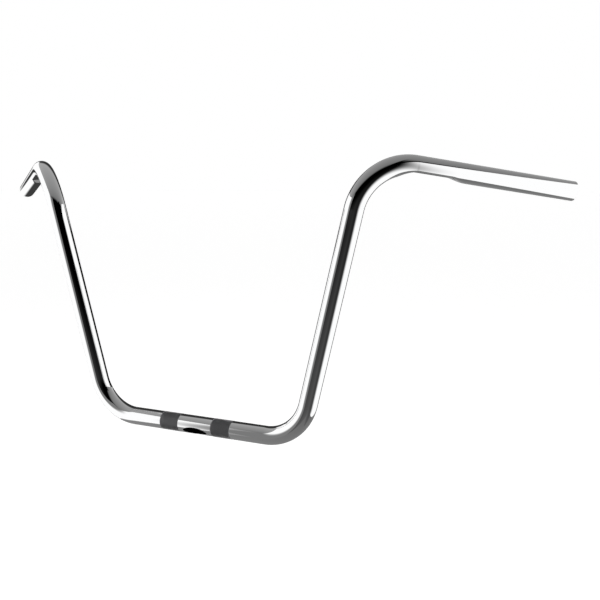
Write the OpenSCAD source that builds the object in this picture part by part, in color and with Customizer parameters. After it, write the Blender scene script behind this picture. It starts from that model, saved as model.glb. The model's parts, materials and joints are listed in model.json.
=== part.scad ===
// Ape hanger handlebar: one steel tube, bent four times, in millimetres.
// The origin is the middle of the base, on the tube's axis, between the two clamping bands.
// +X is the rider's left, +Y is back towards the rider and +Z is up in the plane of the uprights.

/* [Tube] */
// Outside diameter of the tube
tube_d = 25.4; // [22:0.1:32]
// Wall thickness
wall = 2.4; // [1.6:0.1:3]
// How much thinner a bend draws the tube across its diameter
bend_draw = 0.05; // [0.02:0.01:0.2]
// Chamfer on the two cut ends
end_chamfer = 0.6; // [0.2:0.1:1]

/* [Bends] */
// Straight length of the base, between the lower bends
base_l = 216; // [190:1:260]
// Radius of every bend, on the tube's centreline
bend_r = 67; // [60:1:85]
// Angle that a lower bend turns, up from the base
lower_bend_a = 75.7; // [65:0.1:90]
// Straight length of an upright
upright_l = 263; // [120:1:420]
// How far an upper bend is turned back from straight outwards
pull_back_a = 39; // [20:0.5:60]
// Angle that an upper bend turns, from the upright to the grip
upper_bend_a = 88.2; // [75:0.1:100]
// Straight length of a grip
grip_l = 218; // [190:1:260]

/* [Clamping bands] */
// Distance between the middles of the two knurled bands
band_pitch = 84.5; // [75:0.5:95]
// Length of each knurled band
band_l = 30.5; // [20:0.5:34]
// How far the knurl's crests stand above the tube
band_rise = 0.2; // [0.16:0.01:0.3]

/* [Wiring hole] */
// Length of the oval hole, along the base
hole_l = 39.5; // [20:0.5:42]
// Width of the oval hole, round the tube
hole_w = 13.5; // [8:0.5:16]
// Angle that the hole faces, down from straight ahead
hole_a = 36.5; // [0:0.5:90]

/* [Wiring dimples] */
// Distance from the grip's end to the start of the dimple's ramp
dimple_start = 156; // [130:1:170]
// Length of the ramp down to the dimple's floor
dimple_ramp = 15; // [8:1:25]
// Length of the dimple's floor
dimple_floor = 42; // [20:1:50]
// Depth of the floor below the tube's underside
dimple_depth = 5; // [2:0.1:6]
// Radius of the press roll that forms the floor across the tube
roll_r = 60; // [40:1:90]
// Radius with which the floor rises into the upper bend
roll_shoulder_r = 38; // [25:1:50]

/* [Hidden] */
$fn = 96;

tube_r = tube_d / 2;
bore_r = tube_r - wall;
spare = 1; // how far a cut runs past what it cuts
over_bend = 5; // a bend is swept this much too far, then trimmed square

// The upright's direction, and how the grip lies to it
up_x = cos(lower_bend_a);
up_z = sin(lower_bend_a);
inside_z = -sin(upper_bend_a) * up_z - cos(upper_bend_a) * cos(pull_back_a) * up_x;
side_z = sin(pull_back_a) * up_x;
// Turn about the grip from the inside of its bend to straight down
down_turn = atan2(-side_z, -inside_z);

// The press roll lies below the grip, where its middle just reaches the dimple's floor
roll_axis = tube_r - dimple_depth + roll_r;
floor_out = grip_l - dimple_start - dimple_ramp;
floor_in = floor_out - dimple_floor;
past_ramp = 1.2; // the ramp runs on this much past the tube's surface

// A plain round length along Z
module straight(length, r) {
    cylinder(h = length, r = r);
}

// A bend that starts at the origin along +Z and curves towards +X
module bend(angle, r) {
    difference() {
        translate([bend_r, 0, 0])
            rotate([90, 0, 180])
                rotate_extrude(angle = angle + over_bend)
                    translate([bend_r, 0])
                        circle(r = r - bend_draw / 2);
        after_bend(angle)
            translate([-tube_d, -tube_d, 0])
                cube([2 * tube_d, 2 * tube_d, tube_d]);
    }
}

// Carries what follows to the far end of such a bend
module after_bend(angle) {
    translate([bend_r, 0, 0])
        rotate([0, angle, 0])
            translate([-bend_r, 0, 0])
                children();
}

// Carries what follows to one end of the base, with Z outwards and X up
module at_base_end() {
    rotate([0, 90, 0])
        rotate([0, 0, 180])
            translate([0, 0, base_l / 2])
                children();
}

// Carries what follows to the inner end of a grip, with Z outwards and X on the bend's inside
module at_grip() {
    at_base_end()
        after_bend(lower_bend_a)
            translate([0, 0, upright_l])
                rotate([0, 0, 180 + pull_back_a])
                    after_bend(upper_bend_a)
                        children();
}

// From the base's end up to the upper bend, then whatever ends the arm
module arm(r) {
    at_base_end() {
        bend(lower_bend_a, r);
        after_bend(lower_bend_a) {
            straight(upright_l, r);
            translate([0, 0, upright_l])
                rotate([0, 0, 180 + pull_back_a]) {
                    bend(upper_bend_a, r);
                    after_bend(upper_bend_a) children();
                }
        }
    }
}

module both_sides() {
    children();
    mirror([1, 0, 0]) children();
}

// The base with its two raised bands, turned in one piece
module base_outside() {
    inner = (band_pitch - band_l) / 2;
    outer = (band_pitch + band_l) / 2;
    band_r = tube_r + band_rise;
    half = [
        [inner, tube_r],
        [inner + band_rise, band_r],
        [outer - band_rise, band_r],
        [outer, tube_r],
        [base_l / 2, tube_r]
    ];
    rotate([0, 90, 0])
        rotate_extrude()
            polygon(concat(
                [[0, base_l / 2], [0, -base_l / 2]],
                [for (i = [len(half) - 1:-1:0]) [half[i][1], -half[i][0]]],
                [for (p = half) [p[1], p[0]]]
            ));
}

// The grip's straight, with its cut end chamfered
module grip_outside() {
    rotate_extrude()
        polygon([
            [0, 0],
            [tube_r, 0],
            [tube_r, grip_l - end_chamfer],
            [tube_r - end_chamfer, grip_l],
            [0, grip_l]
        ]);
}

// The bore in the grip, opened a little at its mouth
module grip_bore() {
    rotate_extrude()
        polygon([
            [0, 0],
            [bore_r, 0],
            [bore_r, grip_l - end_chamfer],
            [bore_r + end_chamfer, grip_l],
            [bore_r + end_chamfer, grip_l + spare],
            [0, grip_l + spare]
        ]);
}

// The roll that presses a dimple. Grown by the wall, it shapes the inside of the same wall.
module press_roll(grow = 0) {
    r = roll_r + grow;
    shoulder_r = roll_shoulder_r + grow;
    ramp_end_r = r - past_ramp * dimple_depth;
    at_grip()
        rotate([0, 0, down_turn])
            translate([roll_axis, 0, 0])
                rotate_extrude() {
                    polygon([
                        [0, floor_in],
                        [r, floor_in],
                        [r, floor_out],
                        [ramp_end_r, floor_out + past_ramp * dimple_ramp],
                        [0, floor_out + past_ramp * dimple_ramp]
                    ]);
                    translate([0, floor_in - shoulder_r])
                        square([r - shoulder_r, shoulder_r]);
                    intersection() {
                        translate([r - shoulder_r, floor_in]) circle(r = shoulder_r);
                        translate([r - shoulder_r, floor_in - shoulder_r])
                            square(shoulder_r);
                    }
                }
}

// The oval hole that the wires leave by, between the clamping bands
module wiring_hole() {
    rotate([90 + hole_a, 0, 0])
        linear_extrude(tube_d)
            scale([1, hole_w / hole_l])
                circle(d = hole_l);
}

module outside() {
    base_outside();
    both_sides() arm(tube_r) grip_outside();
}

module bore() {
    rotate([0, 90, 0]) cylinder(h = base_l, r = bore_r, center = true);
    both_sides() arm(bore_r) grip_bore();
}

module handlebar() {
    color("silver")
        difference() {
            outside();
            both_sides() press_roll();
            difference() {
                bore();
                both_sides() press_roll(wall);
            }
            wiring_hole();
        }
}

handlebar();
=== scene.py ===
"""The look of the ape hanger handlebar: a chromed, bent steel tube in a studio of cards.

Lengths are in metres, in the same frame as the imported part: the origin is the middle of the base,
+X is the rider's left, +Y is back towards the rider and +Z is up. The tube is built here again with
soft press marks, a cut knurl and a rolled hole edge, inside the part's own box.
"""

import json
import math

import bmesh
import bpy
import numpy as np
from mathutils import Matrix, Vector

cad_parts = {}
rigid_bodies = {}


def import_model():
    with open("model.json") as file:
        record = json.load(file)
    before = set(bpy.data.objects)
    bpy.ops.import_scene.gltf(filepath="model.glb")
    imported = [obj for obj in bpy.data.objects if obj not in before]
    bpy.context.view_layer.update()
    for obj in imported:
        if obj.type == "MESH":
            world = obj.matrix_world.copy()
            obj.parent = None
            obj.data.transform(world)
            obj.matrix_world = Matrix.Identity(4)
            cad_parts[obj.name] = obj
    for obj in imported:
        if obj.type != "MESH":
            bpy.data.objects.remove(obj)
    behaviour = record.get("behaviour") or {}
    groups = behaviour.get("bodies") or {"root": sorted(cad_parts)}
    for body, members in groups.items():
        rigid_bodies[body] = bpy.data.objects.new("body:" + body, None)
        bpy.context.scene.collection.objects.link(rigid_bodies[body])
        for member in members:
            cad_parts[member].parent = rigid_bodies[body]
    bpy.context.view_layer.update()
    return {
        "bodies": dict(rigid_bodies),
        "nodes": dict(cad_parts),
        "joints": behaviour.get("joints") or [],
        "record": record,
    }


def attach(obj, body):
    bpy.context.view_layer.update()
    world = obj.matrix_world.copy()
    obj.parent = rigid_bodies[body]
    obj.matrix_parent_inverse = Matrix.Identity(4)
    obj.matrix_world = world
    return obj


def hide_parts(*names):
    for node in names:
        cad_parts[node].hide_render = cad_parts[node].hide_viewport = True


MM = 0.001

# The tube, as in the part's source
TUBE_R = 12.7 * MM
WALL = 2.4 * MM
BORE_R = TUBE_R - WALL
BASE_L = 216 * MM
BEND_R = 67 * MM
BEND_DRAW = 0.05 * MM  # how much thinner across a bend is
LOWER_BEND = math.radians(75.7)
UPRIGHT_L = 263 * MM
PULL_BACK = math.radians(39)
UPPER_BEND = math.radians(88.2)
GRIP_L = 218 * MM
END_CHAMFER = 0.6 * MM

# Clamping bands
BAND_PITCH = 84.5 * MM
BAND_L = 30.5 * MM
CREST_RISE = 0.16 * MM
KNURL_DEPTH = 0.45 * MM
KNURL_ROWS = 48  # half diamonds along a band
CREST_SHARE = 0.22  # how much of a diamond its flat crest takes

# Wiring hole
HOLE_L = 39.5 * MM
HOLE_W = 13.5 * MM
HOLE_ANGLE = math.radians(36.5)  # down from straight ahead
HOLE_LIP = 0.8 * MM
HOLE_INNER_LIP = 0.4 * MM
PATCH_X = 25 * MM  # half length of the patch of skin round the hole
OUTER_HALF_TURN = math.radians(56)  # how far round the tube the patch goes each way
INNER_HALF_TURN = math.radians(46)  # the same in the bore
PATCH_ROWS = 25  # rings of the tube along the patch
PATCH_ROWS_BORE = 9
PATCH_RINGS = 12  # from the patch's border to the hole's lip
PATCH_CROWDING = 1.4  # above 1, those rings lie closer near the lip
LIP_RINGS = 7  # round the rolled edge
INNER_LIP_RINGS = 4

# Wiring dimples
DIMPLE_START = 156 * MM
DIMPLE_RAMP = 15 * MM
DIMPLE_FLOOR = 42 * MM
DIMPLE_DEPTH = 5 * MM
ROLL_R = 60 * MM
ROLL_SHOULDER_R = 38 * MM
LIP_BLEND = 2.2 * MM  # how softly a press mark's edge is rounded
CORNER_BLEND = 0.5 * MM  # the same for the corners of the press roll
DEEPEST_PRESS = 0.3  # share of the radius that a press mark always leaves
HALVINGS = 26  # of the span in which the pressed skin is looked for
UNPRESSED = 1e-9  # skin this close to the full radius is put on it

# Cut ends, as (distance into the wall, distance back from the end), both in chamfer widths
OUTER_END = [(0, 1.35), (0.06, 1.04), (0.22, 0.78), (0.78, 0.22), (1.02, 0.06), (1.35, 0)]
INNER_END = [(1.2, 0), (0.9, 0.1), (0.1, 0.9)]

# Mesh steps
AROUND = 128
AROUND_BORE = 64
BEND_STEP = math.radians(2)
FINE_STEP = 1.25 * MM
FINE_FROM = 0.62  # share of the upper bend past which the dimple needs fine steps
COARSE_STEP = 27 * MM
EDGE_STEP = 1 * MM

# Camera, as worked out from the photograph
CAMERA_AZIMUTH = math.radians(26.65)
CAMERA_ELEVATION = math.radians(9.12)
CAMERA_ROLL = math.radians(0.68)
CAMERA_DISTANCE = 1.0733
CAMERA_AIM = Vector((0.1626, 0.0, 0.1884))
LENS_MM = 50
SENSOR_MM = 36

# Studio: a room of cards round the bar, which is seen only in the metal
ROOM_TURN = math.radians(12.2)
ROOM_CENTRE = (-0.29, 1.365)
ROOM_HALF_WIDTH = 0.779
ROOM_HALF_DEPTH = 2.296
FLOOR_Z = -0.643
CEILING_Z = 0.694
CARD_GAP = 0.004  # from the room's floor card down to the floor
FLOOR_HALF_WIDTH = 30
FLOOR_GLOW = 0.55  # where it is seen, so that it is white with the lamp's light on it
FILL_LEVEL = 0.5  # of the world, where it lights things and isn't seen itself
SOFTBOX_LEVEL = 1.05
FLAG_LEVEL = 0.123

# The flag inside the room's right wall, in shares of the room's half width and half depth
FLAG_OUT = 0.578
FLAG_FORWARD = 0.8025
FLAG_HALF_DEPTH = 0.1557


def smooth_min(a, b, k):
    """The smaller of a and b, with the corner between them rounded over k."""
    h = np.maximum(k - np.abs(a - b), 0) / k
    return np.minimum(a, b) - h * h * k / 4


def smooth_max(a, b, k):
    """The larger of a and b, with the corner between them rounded over k."""
    return -smooth_min(-a, -b, k)


def turned(v, axis, angle):
    """v turned about a unit axis."""
    c, s = math.cos(angle), math.sin(angle)
    return v * c + np.cross(axis, v) * s + axis * (axis @ v) * (1 - c)


class Line:
    """The tube's centreline on the +X side, with a frame that is carried along it without twist."""

    def __init__(self):
        self.at = np.zeros(3)
        self.along = np.array([1.0, 0.0, 0.0])
        self.up = np.array([0.0, 0.0, 1.0])
        self.side = np.array([0.0, 1.0, 0.0])
        self.frames = []

    def keep(self, draw=0.0):
        """Keeps a frame here, and how much smaller the tube's radius is in it."""
        self.frames.append((self.at.copy(), self.along, self.up, self.side, draw))

    def straight(self, length, steps):
        """Goes straight on, and keeps a frame at each share in steps."""
        start = self.at
        for share in steps:
            self.at = start + self.along * length * share
            self.keep()
        self.at = start + self.along * length

    def bend(self, angle, inside, steps):
        """Bends towards the unit vector inside, and keeps a frame at each share in steps."""
        start = self.at, self.along, self.up, self.side
        centre = self.at + inside * BEND_R
        axis = np.cross(self.along, inside)
        for share in list(steps) + [1.0]:
            turn = angle * share
            self.at = centre + turned(start[0] - centre, axis, turn)
            self.along, self.up, self.side = (turned(v, axis, turn) for v in start[1:])
            if share < 1.0:
                self.keep(BEND_DRAW / 2 if share > 0 else 0.0)


def shares(length, step, first=0.0, last=0.0):
    """Even shares from 0 up to but not including 1, with close ones near the ends if asked."""
    count = max(1, round(length / step))
    inner = [i / count for i in range(count)]
    if first:
        inner.insert(1, first / length)
    if last:
        inner.append(1 - last / length)
    return inner


def half_line():
    """Frames from the base's end to the grip's end, and the grip's own inner end and direction."""
    line = Line()
    line.straight(BASE_L / 2, [])
    line.bend(LOWER_BEND, line.up, shares(LOWER_BEND, BEND_STEP))
    line.straight(UPRIGHT_L, shares(UPRIGHT_L, COARSE_STEP, EDGE_STEP, EDGE_STEP))
    inside = -math.cos(PULL_BACK) * line.up + math.sin(PULL_BACK) * line.side
    coarse = [share for share in shares(UPPER_BEND, BEND_STEP) if share < FINE_FROM]
    count = round(UPPER_BEND * BEND_R * (1 - FINE_FROM) / FINE_STEP)
    fine = [FINE_FROM + (1 - FINE_FROM) * i / count for i in range(count)]
    line.bend(UPPER_BEND, inside, coarse + fine)
    grip = line.at.copy(), line.along.copy()
    past_ramp = 3 * FINE_STEP
    pressed = GRIP_L - DIMPLE_START + past_ramp
    line.straight(pressed, shares(pressed, FINE_STEP))
    before_end = 2 * END_CHAMFER
    plain = GRIP_L - pressed - before_end
    line.straight(plain, shares(plain, COARSE_STEP))
    line.keep()
    return line.frames, grip


FRAMES, (GRIP_AT, GRIP_ALONG) = half_line()
DOWN = np.array([0.0, 0.0, -1.0])
PRESS_DIR = DOWN - GRIP_ALONG * (DOWN @ GRIP_ALONG)
PRESS_DIR /= np.linalg.norm(PRESS_DIR)
ROLL_AT = GRIP_AT + PRESS_DIR * (TUBE_R - DIMPLE_DEPTH + ROLL_R)
FLOOR_OUT = GRIP_L - DIMPLE_START - DIMPLE_RAMP
FLOOR_IN = FLOOR_OUT - DIMPLE_FLOOR


def roll_profile(z):
    """The press roll's radius at a distance z along the grip."""
    ramp = ROLL_R - (z - FLOOR_OUT) * DIMPLE_DEPTH / DIMPLE_RAMP
    past = np.clip(FLOOR_IN - z, 0, ROLL_SHOULDER_R)
    shoulder = ROLL_R - ROLL_SHOULDER_R + np.sqrt(ROLL_SHOULDER_R**2 - past**2)
    shoulder = np.where(past < ROLL_SHOULDER_R, shoulder, 0)
    return smooth_min(smooth_min(ramp, np.full_like(z, ROLL_R), CORNER_BLEND), shoulder, CORNER_BLEND)


def pressed_radius(at, out, full, grow):
    """How far the skin lies from the centreline in the directions out, where the roll has pressed it."""
    low, high = np.full(len(out), DEEPEST_PRESS * full), np.full(len(out), full)
    slope = DIMPLE_RAMP / math.hypot(DIMPLE_RAMP, DIMPLE_DEPTH)
    for _ in range(HALVINGS):
        mid = (low + high) / 2
        rel = at + out * mid[:, None] - ROLL_AT
        z = rel @ GRIP_ALONG
        from_roll = np.linalg.norm(rel - z[:, None] * GRIP_ALONG, axis=1)
        inside_roll = (roll_profile(z) + grow - from_roll) * slope
        outside = smooth_max(mid - full, inside_roll, LIP_BLEND) > 0
        high = np.where(outside, mid, high)
        low = np.where(outside, low, mid)
    return np.where(high > full - UNPRESSED, full, (low + high) / 2)


def ring_points(frame, full, grow, count):
    """A ring of an arm's skin, where full is its radius and grow is the wall outside it."""
    at, _, up, side, draw = frame
    full = full - draw
    turn = np.arange(count) * 2 * math.pi / count
    out = np.cos(turn)[:, None] * up + np.sin(turn)[:, None] * side
    near_press = (at - GRIP_AT) @ GRIP_ALONG > -BEND_R
    radius = pressed_radius(at, out, full, grow) if near_press else np.full(count, full)
    return at + out * radius[:, None]


class Skin:
    """Collects the points and faces of one mesh."""

    def __init__(self):
        self.points = []
        self.faces = []
        self.looks = []
        self.flats = []

    def add(self, points):
        first = len(self.points)
        self.points.extend(map(tuple, points))
        return list(range(first, first + len(points)))

    def face(self, corners, look, flat=False):
        self.faces.append(corners)
        self.looks.append(look)
        self.flats.append(flat)

    def strip(self, a, b, look, closed=True):
        """Quads between two rows with as many points each."""
        count = len(a) if closed else len(a) - 1
        for i in range(count):
            j = (i + 1) % len(a)
            self.face((a[i], b[i], b[j], a[j]), look)

    def zip(self, a, b, look):
        """Triangles between two closed rings with any number of points, which both start abreast."""
        i = j = 0
        while i < len(a) or j < len(b):
            if j == len(b) or (i < len(a) and i / len(a) <= j / len(b)):
                self.face((a[i % len(a)], b[j % len(b)], a[(i + 1) % len(a)]), look)
                i += 1
            else:
                self.face((a[i % len(a)], b[j % len(b)], b[(j + 1) % len(b)]), look)
                j += 1


CHROME, KNURL, BORE = 0, 1, 2


def tube_ring(x, radius, count):
    """A ring of the base at x, where turn 0 is up and a quarter turn is back."""
    turn = np.arange(count) * 2 * math.pi / count
    return np.stack([np.full(count, x), radius * np.sin(turn), radius * np.cos(turn)], 1)


def on_base(x, turn, radius):
    """A point of the base, with the same turn as tube_ring has."""
    return np.array([x, radius * math.sin(turn), radius * math.cos(turn)])


def knurl(skin, x0, x1, first, last):
    """Truncated diamonds between two plain rings of points, first at x0 and last at x1."""
    root_r = TUBE_R + CREST_RISE - KNURL_DEPTH
    crest_r = TUBE_R + CREST_RISE
    pitch = (x1 - x0) / KNURL_ROWS
    step = 2 * math.pi / AROUND
    rows = [first]
    for k in range(1, KNURL_ROWS):
        rows.append(skin.add(tube_ring(x0 + k * pitch, root_r, AROUND)))
    rows.append(last)
    for k in range(1, KNURL_ROWS):
        for j in range(k % 2, AROUND, 2):
            before, after = (j - 1) % AROUND, (j + 1) % AROUND
            corners = [rows[k][before], rows[k - 1][j], rows[k][after], rows[k + 1][j]]
            places = [(0, -1), (-1, 0), (0, 1), (1, 0)]
            x, turn = x0 + k * pitch, j * step
            crest = skin.add([
                on_base(x + a * CREST_SHARE * pitch, turn + b * CREST_SHARE * step, crest_r)
                for a, b in places
            ])
            for i in range(4):
                n = (i + 1) % 4
                skin.face((corners[i], corners[n], crest[n], crest[i]), KNURL, flat=True)
            skin.face(tuple(crest), KNURL, flat=True)
    for edge, k in ((first, 1), (last, KNURL_ROWS - 1)):
        for j in range((k + 1) % 2, AROUND, 2):
            before, after = (j - 1) % AROUND, (j + 1) % AROUND
            skin.face((edge[before], rows[k][j], edge[j]), KNURL, flat=True)
            skin.face((edge[j], rows[k][j], edge[after]), KNURL, flat=True)


def drop_unused_points(skin):
    """Drops the points that no face uses, such as those of the knurl's rows under a crest."""
    used = sorted({i for face in skin.faces for i in face})
    place = {old: new for new, old in enumerate(used)}
    skin.points = [skin.points[i] for i in used]
    skin.faces = [tuple(place[i] for i in face) for face in skin.faces]


# The hole's place round the tube, and the directions out of it and across it
HOLE_TURN = math.pi + math.atan2(math.cos(HOLE_ANGLE), math.sin(HOLE_ANGLE))
HOLE_OUT = np.array([0.0, math.sin(HOLE_TURN), math.cos(HOLE_TURN)])
HOLE_ACROSS = np.array([0.0, math.cos(HOLE_TURN), -math.sin(HOLE_TURN)])


def patch_columns(count, half_turn):
    """The columns of a ring that bound the patch round the hole."""
    step = 2 * math.pi / count
    return math.floor((HOLE_TURN - half_turn) / step), math.ceil((HOLE_TURN + half_turn) / step)


def hole_directions(border, half_turn):
    """For each border point, its direction from the hole's middle, as an angle on the ellipse."""
    return [math.atan2((turn - HOLE_TURN) / half_turn, x / PATCH_X) for x, turn in border]


def base_grid(skin, radius, count, look, rows, half_turn):
    """The base's plain skin between the bands, with an open patch for the hole.

    Returns its rings, and the patch's border as closed lists of (x, turn) and of point numbers.
    """
    low, high = patch_columns(count, half_turn)
    step = 2 * math.pi / count
    rings = [skin.add(tube_ring(x, radius, count)) for x in rows]
    for a, b in zip(rings[:-1], rings[1:]):
        outside = [j % count for j in range(high, low + count + 1)]
        skin.strip([a[j] for j in outside], [b[j] for j in outside], look, closed=False)
    last = len(rows) - 1
    border = [(0, j) for j in range(low, high)]
    border += [(i, high) for i in range(last)]
    border += [(last, j) for j in range(high, low, -1)]
    border += [(i, low) for i in range(last, 0, -1)]
    places = [(rows[i], j * step) for i, j in border]
    return rings, places, [rings[i][j % count] for i, j in border]


def rolled(a, corner, b, count):
    """Points on the soft curve from a to b that the sharp corner pulls out."""
    out = []
    for t in np.linspace(0, 1, count):
        out.append((1 - t) ** 2 * a + 2 * t * (1 - t) * corner + t * t * b)
    return out


def hole_edge(angles, radius):
    """The sharp edge of the hole at a radius: (x, turn) of each point, and its outward way there."""
    def edge(angle):
        x = HOLE_L / 2 * np.cos(angle)
        turn = HOLE_TURN + np.arcsin(HOLE_W / 2 * np.sin(angle) / radius)
        return np.stack([x, turn], 1)

    angles = np.array(angles)
    places = edge(angles)
    small = 1e-3
    along_edge = (edge(angles + small) - edge(angles - small)) * np.array([1, radius])
    away = np.stack([along_edge[:, 1], -along_edge[:, 0]], 1)
    away /= np.linalg.norm(away, axis=1)[:, None]
    middle = (places - np.array([0, HOLE_TURN])) * np.array([1, radius])
    away *= np.sign((away * middle).sum(1))[:, None]
    return places, away


def hole(skin, outer, inner):
    """Fills both patches round the hole and joins them through the wall with rolled edges."""
    (out_places, out_points), (in_places, in_points) = outer, inner
    angles = hole_directions(out_places, OUTER_HALF_TURN)
    edge, away = hole_edge(angles, TUBE_R)
    lip = edge + away * HOLE_LIP / np.array([1, TUBE_R])
    border = np.array(out_places)
    rows = []
    for share in np.linspace(1, 0, PATCH_RINGS)[1:] ** PATCH_CROWDING:
        rows.append([on_base(x, turn, TUBE_R) for x, turn in lip + (border - lip) * share])
    x = edge[:, 0]
    across = TUBE_R * np.sin(edge[:, 1] - HOLE_TURN)
    deep = np.sqrt(TUBE_R**2 - across**2)
    deep_in = np.sqrt(BORE_R**2 - across**2)

    def wall(depth):
        return np.outer(x, [1, 0, 0]) + np.outer(across, HOLE_ACROSS) + np.outer(depth, HOLE_OUT)

    lip_points = np.array(rows[-1])
    rows += rolled(lip_points, wall(deep), wall(deep - HOLE_LIP), LIP_RINGS)[1:]
    in_edge, in_away = hole_edge(angles, BORE_R)
    in_lip = in_edge + in_away * HOLE_INNER_LIP / np.array([1, BORE_R])
    in_lip_points = np.array([on_base(px, turn, BORE_R) for px, turn in in_lip])
    in_wall = wall(deep_in + HOLE_INNER_LIP)
    rows += rolled(in_wall, wall(deep_in), in_lip_points, INNER_LIP_RINGS)
    previous = out_points
    for row in rows:
        ring = skin.add(row)
        skin.strip(previous, ring, CHROME)
        previous = ring
    in_angles = hole_directions(in_places, INNER_HALF_TURN)
    start = int(np.argmin([abs(math.remainder(a - in_angles[0], 2 * math.pi)) for a in angles]))
    skin.zip(previous[start:] + previous[:start], in_points, BORE)


def mirrored(points):
    """The same points on the -X side."""
    return np.asarray(points) * np.array([-1, 1, 1])


def cut_end(skin, outer_ring, inner_ring, mirror):
    """Closes the tube's end between its outer and its inner skin."""
    _, along, up, side, _ = FRAMES[-1]
    end = GRIP_AT + GRIP_ALONG * GRIP_L

    def ring(radius, back, count):
        turn = np.arange(count) * 2 * math.pi / count
        out = np.cos(turn)[:, None] * up + np.sin(turn)[:, None] * side
        points = end - along * (back * END_CHAMFER) + out * radius
        return skin.add(mirrored(points) if mirror else points)

    previous = outer_ring
    for inset, back in OUTER_END:
        row = ring(TUBE_R - inset * END_CHAMFER, back, AROUND)
        skin.strip(previous, row, CHROME)
        previous = row
    rows = [ring(BORE_R + inset * END_CHAMFER, back, AROUND_BORE) for inset, back in INNER_END]
    skin.zip(previous, rows[0], CHROME)
    for a, b in zip(rows, rows[1:] + [inner_ring]):
        skin.strip(a, b, BORE)


def arm(skin, start, full, grow, count, look, mirror, every=1):
    """The skin of one arm, from a ring at the base's end out to the grip. Returns its last ring."""
    previous = start
    last = len(FRAMES) - 1
    for k, frame in enumerate(FRAMES):
        if k == 0 or (k % every and k != last):
            continue
        points = ring_points(frame, full, grow, count)
        ring = skin.add(mirrored(points) if mirror else points)
        skin.strip(previous, ring, look)
        previous = ring
    return previous


def handlebar():
    """The whole tube as one closed mesh."""
    skin = Skin()
    band_in = (BAND_PITCH - BAND_L) / 2
    band_out = (BAND_PITCH + BAND_L) / 2
    rows = list(np.linspace(-PATCH_X, PATCH_X, PATCH_ROWS))
    rings, out_places, out_points = base_grid(
        skin, TUBE_R, AROUND, CHROME, rows, OUTER_HALF_TURN
    )
    in_rows = list(np.linspace(-PATCH_X, PATCH_X, PATCH_ROWS_BORE))
    in_rings, in_places, in_points = base_grid(
        skin, BORE_R, AROUND_BORE, BORE, in_rows, INNER_HALF_TURN
    )
    hole(skin, (out_places, out_points), (in_places, in_points))
    for mirror, ring, in_ring in ((False, rings[-1], in_rings[-1]), (True, rings[0], in_rings[0])):
        sign = -1 if mirror else 1
        inner_edge = skin.add(tube_ring(sign * band_in, TUBE_R, AROUND))
        outer_edge = skin.add(tube_ring(sign * band_out, TUBE_R, AROUND))
        skin.strip(ring, inner_edge, CHROME)
        knurl(skin, sign * band_in, sign * band_out, inner_edge, outer_edge)
        near = skin.add(tube_ring(sign * (band_out + EDGE_STEP), TUBE_R, AROUND))
        skin.strip(outer_edge, near, CHROME)
        last = skin.add(tube_ring(sign * (BASE_L / 2 - EDGE_STEP), TUBE_R, AROUND))
        skin.strip(near, last, CHROME)
        bend_start = skin.add(tube_ring(sign * BASE_L / 2, TUBE_R, AROUND))
        skin.strip(last, bend_start, CHROME)
        out_end = arm(skin, bend_start, TUBE_R, 0.0, AROUND, CHROME, mirror)
        in_start = skin.add(tube_ring(sign * BASE_L / 2, BORE_R, AROUND_BORE))
        skin.strip(in_ring, in_start, BORE)
        in_end = arm(skin, in_start, BORE_R, WALL, AROUND_BORE, BORE, mirror, every=2)
        cut_end(skin, out_end, in_end, mirror)
    drop_unused_points(skin)
    return skin


def to_object(name, skin, materials):
    """An object from a skin, with its normals outwards and a sharp edge where two looks meet."""
    mesh = bpy.data.meshes.new(name)
    mesh.from_pydata(skin.points, [], skin.faces)
    for material in materials:
        mesh.materials.append(material)
    mesh.polygons.foreach_set("material_index", skin.looks)
    mesh.polygons.foreach_set("use_smooth", [not flat for flat in skin.flats])
    mesh.update()
    shape = bmesh.new()
    shape.from_mesh(mesh)
    bmesh.ops.recalc_face_normals(shape, faces=shape.faces)
    for edge in shape.edges:
        edge.smooth = len({face.material_index for face in edge.link_faces}) == 1
    shape.to_mesh(mesh)
    shape.free()
    obj = bpy.data.objects.new(name, mesh)
    bpy.context.scene.collection.objects.link(obj)
    return obj


def new_material(name):
    """A material, with its nodes, its links and its shader."""
    material = bpy.data.materials.new(name)
    material.use_nodes = True
    nodes, links = material.node_tree.nodes, material.node_tree.links
    return material, nodes, links, nodes["Principled BSDF"]


def noise_ramp(nodes, links, scale, low, high):
    """A noise in the object's own coordinates, brought between two values."""
    coords = nodes.new("ShaderNodeTexCoord")
    noise = nodes.new("ShaderNodeTexNoise")
    noise.inputs["Scale"].default_value = scale
    noise.inputs["Detail"].default_value = 3
    span = nodes.new("ShaderNodeMapRange")
    span.inputs["To Min"].default_value = low
    span.inputs["To Max"].default_value = high
    links.new(coords.outputs["Object"], noise.inputs["Vector"])
    links.new(noise.outputs["Fac"], span.inputs["Value"])
    return span.outputs["Result"]


def blended_colour(nodes, links, factor, first, second):
    """The first colour where the factor is 0 and the second where it is 1."""
    mix = nodes.new("ShaderNodeMix")
    mix.data_type = "RGBA"
    mix.inputs["A"].default_value = (*first, 1)
    mix.inputs["B"].default_value = (*second, 1)
    links.new(factor, mix.inputs["Factor"])
    return mix.outputs["Result"]


def chrome_material():
    """Bright chrome plate, with the faint haze that polishing leaves."""
    material, nodes, links, shader = new_material("chrome")
    shader.inputs["Metallic"].default_value = 1
    haze = noise_ramp(nodes, links, scale=38, low=0.02, high=0.05)
    links.new(haze, shader.inputs["Roughness"])
    tint = noise_ramp(nodes, links, scale=11, low=0, high=1)
    colour = blended_colour(nodes, links, tint, (0.93, 0.935, 0.94), (0.96, 0.96, 0.96))
    links.new(colour, shader.inputs["Base Color"])
    return material


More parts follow.
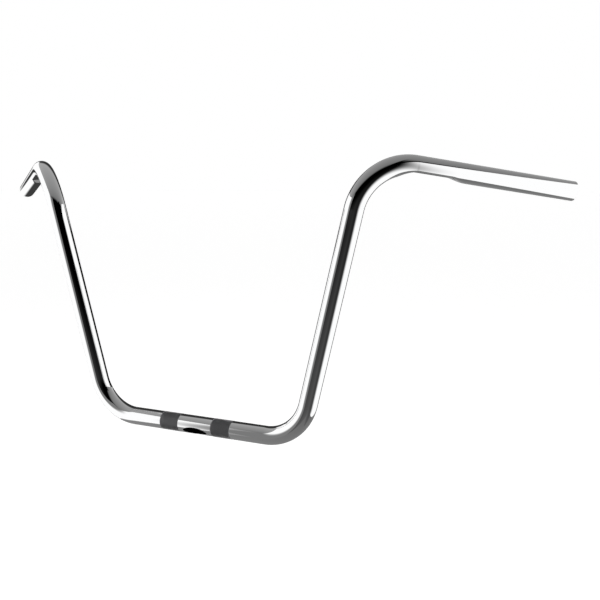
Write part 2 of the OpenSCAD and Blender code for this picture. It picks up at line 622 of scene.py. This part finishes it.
def knurl_material():
    """Plate on the knurl: duller than on the polished tube, and darkened as painted shade of its
    grooves.
    """
    material, nodes, links, shader = new_material("knurl")
    shader.inputs["Metallic"].default_value = 1
    dullness = noise_ramp(nodes, links, scale=260, low=0.28, high=0.4)
    links.new(dullness, shader.inputs["Roughness"])
    tint = noise_ramp(nodes, links, scale=90, low=0, high=1)
    # painted shade: a darker colour than the tube's plate, standing for the shade among the knurl's
    # diamonds
    colour = blended_colour(nodes, links, tint, (0.42, 0.42, 0.43), (0.52, 0.52, 0.53))
    links.new(colour, shader.inputs["Base Color"])
    return material


def bore_material():
    """Bare steel inside the tube, dark with mill scale."""
    material, nodes, links, shader = new_material("bore")
    shader.inputs["Metallic"].default_value = 1
    dullness = noise_ramp(nodes, links, scale=60, low=0.45, high=0.7)
    links.new(dullness, shader.inputs["Roughness"])
    tint = noise_ramp(nodes, links, scale=25, low=0, high=1)
    colour = blended_colour(nodes, links, tint, (0.03, 0.029, 0.028), (0.07, 0.066, 0.062))
    links.new(colour, shader.inputs["Base Color"])
    return material


def sees_background(nodes, links):
    """1 for the rays that show the background: from the camera, and by reflection or through glass."""
    path = nodes.new("ShaderNodeLightPath")
    total = path.outputs["Is Camera Ray"]
    for name in ("Is Glossy Ray", "Is Transmission Ray"):
        both = nodes.new("ShaderNodeMath")
        both.operation = "MAXIMUM"
        links.new(total, both.inputs[0])
        links.new(path.outputs[name], both.inputs[1])
        total = both.outputs["Value"]
    return total


def world():
    """White where it is seen, and a plain fill light for everything else."""
    made = bpy.data.worlds.new("studio")
    made.use_nodes = True
    nodes, links = made.node_tree.nodes, made.node_tree.links
    background = nodes["Background"]
    background.inputs["Color"].default_value = (1, 1, 1, 1)
    strength = nodes.new("ShaderNodeMapRange")
    strength.inputs["To Min"].default_value = FILL_LEVEL
    strength.inputs["To Max"].default_value = 1.0
    links.new(sees_background(nodes, links), strength.inputs["Value"])
    links.new(strength.outputs["Result"], background.inputs["Strength"])
    bpy.context.scene.world = made


def plane(name, centre, across, up):
    """A flat stage card from its centre and its two half extents, which its own axes measure."""
    mesh = bpy.data.meshes.new(name)
    mesh.from_pydata([(-1, -1, 0), (1, -1, 0), (1, 1, 0), (-1, 1, 0)], [], [(0, 1, 2, 3)])
    card = bpy.data.objects.new(name, mesh)
    across, up = Vector(across), Vector(up)
    axes = Matrix((across, up, across.cross(up).normalized())).transposed().to_4x4()
    card.matrix_world = Matrix.Translation(centre) @ axes
    bpy.context.scene.collection.objects.link(card)
    return card


def floor():
    """A pale floor under the bar, which keeps its shadow."""
    place = (0, 0, FLOOR_Z - CARD_GAP)
    card = plane("floor", place, (FLOOR_HALF_WIDTH, 0, 0), (0, FLOOR_HALF_WIDTH, 0))
    material, nodes, links, shader = new_material("floor")
    shader.inputs["Base Color"].default_value = (0.8, 0.8, 0.8, 1)
    shader.inputs["Roughness"].default_value = 0.9
    shader.inputs["Emission Color"].default_value = (1, 1, 1, 1)
    glow = nodes.new("ShaderNodeMath")
    glow.operation = "MULTIPLY"
    glow.inputs[1].default_value = FLOOR_GLOW
    links.new(sees_background(nodes, links), glow.inputs[0])
    links.new(glow.outputs["Value"], shader.inputs["Emission Strength"])
    card.data.materials.append(material)


def reflected_only(card):
    """Hides a card from everything but reflections in the metal."""
    card.visible_camera = False
    card.visible_diffuse = False
    card.visible_transmission = False
    card.visible_volume_scatter = False
    card.visible_shadow = False


def soft_step(nodes, links, value, edge, softness):
    """0 before an edge and 1 past it."""
    span = nodes.new("ShaderNodeMapRange")
    span.interpolation_type = "SMOOTHSTEP"
    span.inputs["From Min"].default_value = edge - softness
    span.inputs["From Max"].default_value = edge + softness
    links.new(value, span.inputs["Value"])
    return span.outputs["Result"]


def inverted(nodes, links, factor):
    """1 where a factor is 0 and 0 where it is 1."""
    flip = nodes.new("ShaderNodeMath")
    flip.operation = "SUBTRACT"
    flip.inputs[0].default_value = 1
    links.new(factor, flip.inputs[1])
    return flip.outputs["Value"]


def faded(nodes, links, level, factor, other):
    """Brings a level to another one as a factor goes from 0 to 1."""
    mix = nodes.new("ShaderNodeMix")
    mix.inputs["B"].default_value = other
    links.new(factor, mix.inputs["Factor"])
    links.new(level, mix.inputs["A"])
    return mix.outputs["Result"]


def distance_along(nodes, links, place, direction):
    """How far a place lies along a direction, in the card's own axes."""
    project = nodes.new("ShaderNodeVectorMath")
    project.operation = "DOT_PRODUCT"
    project.inputs[1].default_value = (*direction, 0)
    links.new(place, project.inputs[0])
    return project.outputs["Value"]


def from_middle(nodes, links, place, middle, radii):
    """How far a place lies from the middle of an ellipse, where its edge is at 1."""
    shift = nodes.new("ShaderNodeVectorMath")
    shift.operation = "SUBTRACT"
    shift.inputs[1].default_value = (*middle, 0)
    scale = nodes.new("ShaderNodeVectorMath")
    scale.operation = "DIVIDE"
    scale.inputs[1].default_value = (*radii, 1)
    length = nodes.new("ShaderNodeVectorMath")
    length.operation = "LENGTH"
    links.new(place, shift.inputs[0])
    links.new(shift.outputs["Vector"], scale.inputs[0])
    links.new(scale.outputs["Vector"], length.inputs[0])
    return length.outputs["Value"]


def glow_material(name, level, slope=(0, 0), fades=(), pools=(), clear=None):
    """A glow for a card, whose own axes run from -1 to 1.

    It has a level at the card's middle, and a slope. Each fade is (direction, edge, softness, level
    past the edge) and each pool is (middle, radii, softness, level within), and they come on in that
    order. Past clear, which is (direction, edge, softness), the card is see-through.
    """
    material = bpy.data.materials.new(name)
    material.use_nodes = True
    nodes, links = material.node_tree.nodes, material.node_tree.links
    nodes.clear()
    out = nodes.new("ShaderNodeOutputMaterial")
    emission = nodes.new("ShaderNodeEmission")
    place = nodes.new("ShaderNodeTexCoord").outputs["Object"]
    base = nodes.new("ShaderNodeMath")
    base.inputs[1].default_value = level
    links.new(distance_along(nodes, links, place, slope), base.inputs[0])
    glow = base.outputs["Value"]
    for direction, edge, softness, other in fades:
        past = soft_step(nodes, links, distance_along(nodes, links, place, direction), edge, softness)
        glow = faded(nodes, links, glow, past, other)
    for middle, radii, softness, other in pools:
        distance = from_middle(nodes, links, place, middle, radii)
        outside = soft_step(nodes, links, distance, 1, softness)
        glow = faded(nodes, links, glow, inverted(nodes, links, outside), other)
    links.new(glow, emission.inputs["Strength"])
    surface = emission.outputs["Emission"]
    if clear:
        direction, edge, softness = clear
        see_through = nodes.new("ShaderNodeBsdfTransparent")
        mix = nodes.new("ShaderNodeMixShader")
        past = soft_step(nodes, links, distance_along(nodes, links, place, direction), edge, softness)
        links.new(past, mix.inputs[0])
        links.new(surface, mix.inputs[1])
        links.new(see_through.outputs["BSDF"], mix.inputs[2])
        surface = mix.outputs["Shader"]
    links.new(surface, out.inputs["Surface"])
    return material


def room():
    """The cards that the chrome reflects, set out as the walls of a room round the bar."""
    right = Vector((math.cos(ROOM_TURN), math.sin(ROOM_TURN), 0)) * ROOM_HALF_WIDTH
    back = Vector((-math.sin(ROOM_TURN), math.cos(ROOM_TURN), 0)) * ROOM_HALF_DEPTH
    middle = Vector((*ROOM_CENTRE, (FLOOR_Z + CEILING_Z) / 2))
    up = Vector((0, 0, (CEILING_Z - FLOOR_Z) / 2))
    flag_middle = middle + right * FLAG_OUT - back * FLAG_FORWARD
    leftwards = frontwards = (-1, 0)
    backwards = (1, 0)
    upwards = (0, 1)
    darker_up = (upwards, -0.43, 1.1, 0.0)  # a slow fade to black towards a flag's top
    cards = [
        # Dark, with a grey left part and a soft grey patch low at its right end
        ("front_flag", middle - back, right, up, glow_material(
            "front_glow", FLAG_LEVEL, fades=[darker_up, (leftwards, 0.518, 0.02, 0.2)],
            pools=[((1.04, -1.04), (0.16, 0.88), 0.4, 0.3)],
        )),
        ("back_flag", middle + back, right, up, glow_material("back_glow", 0.0)),
        # White in its front third, but for a grey end and a small dark spot
        ("left_softbox", middle - right, back, up, glow_material(
            "left_glow", SOFTBOX_LEVEL,
            fades=[(frontwards, 0.93, 0.055, 0.3), (backwards, -0.32, 0.02, 0.045)],
            pools=[((-0.375, 0.44), (0.035, 0.065), 0.3, 0.04)],
        )),
        # White in its front part, but for a dark end
        ("right_softbox", middle + right, back, up, glow_material(
            "right_glow", SOFTBOX_LEVEL,
            fades=[(frontwards, 0.87, 0.1, 0.0), (backwards, -0.15, 0.02, 0.0)],
        )),
        # Gives the dark bands of the uprights their edge
        ("right_flag", flag_middle, back * FLAG_HALF_DEPTH, up, glow_material(
            "flag_glow", FLAG_LEVEL, fades=[darker_up], clear=(backwards, 0.748, 0.252),
        )),
        ("floor_card", middle - up, right, back, glow_material(
            "floor_glow", 0.263, slope=(-0.046, 0.11),
        )),
        # Grey, paler towards the back, with a black back part, front edge and front right corner
        ("ceiling_card", middle + up, right, back, glow_material(
            "ceiling_glow", 0.545, slope=(-0.083, 0.445), fades=[((0.15, -1), 0.87, 0.06, 0.0)],
            pools=[((-0.6, 0.964), (1.4, 1.39), 0.025, 0.03), ((1, -1), (0.3, 0.35), 0.1, 0.0)],
        )),
    ]
    for name, centre, across, rise, material in cards:
        card = plane(name, centre, across, rise)
        card.data.materials.append(material)
        reflected_only(card)


def lamp(name, place, aim, size, power):
    """A soft lamp that lights the floor and stays out of the metal's reflections."""
    data = bpy.data.lights.new(name, "AREA")
    data.size = size
    data.energy = power
    made = bpy.data.objects.new(name, data)
    made.location = place
    made.rotation_mode = "QUATERNION"
    made.rotation_quaternion = (Vector(aim) - Vector(place)).to_track_quat("-Z", "Y")
    made.visible_glossy = False
    made.visible_camera = False
    bpy.context.scene.collection.objects.link(made)


def camera():
    """The photograph's viewpoint: a 50 mm lens a metre in front of the bar, to the rider's left."""
    right = Vector((math.cos(CAMERA_AZIMUTH), math.sin(CAMERA_AZIMUTH), 0))
    level_back = Vector((math.sin(CAMERA_AZIMUTH), -math.cos(CAMERA_AZIMUTH), 0))
    rise = Vector((0, 0, math.sin(CAMERA_ELEVATION)))
    back = level_back * math.cos(CAMERA_ELEVATION) + rise
    up = back.cross(right)
    tilt_right = right * math.cos(CAMERA_ROLL) - up * math.sin(CAMERA_ROLL)
    tilt_up = right * math.sin(CAMERA_ROLL) + up * math.cos(CAMERA_ROLL)
    data = bpy.data.cameras.new("camera")
    data.lens = LENS_MM
    data.sensor_width = SENSOR_MM
    made = bpy.data.objects.new("camera", data)
    turn = Matrix((tilt_right, tilt_up, back)).transposed().to_4x4()
    made.matrix_world = Matrix.Translation(CAMERA_AIM + back * CAMERA_DISTANCE) @ turn
    bpy.context.scene.collection.objects.link(made)
    bpy.context.scene.camera = made


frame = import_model()

camera()
bar = to_object("chromed_tube", handlebar(), [chrome_material(), knurl_material(), bore_material()])
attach(bar, "root")
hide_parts("handlebar")

world()
floor()
room()
lamp("key", place=(-0.9, -0.7, 2.2), aim=(0, 0, 0), size=1.6, power=40)
bpy.context.scene.view_settings.view_transform = "Standard"
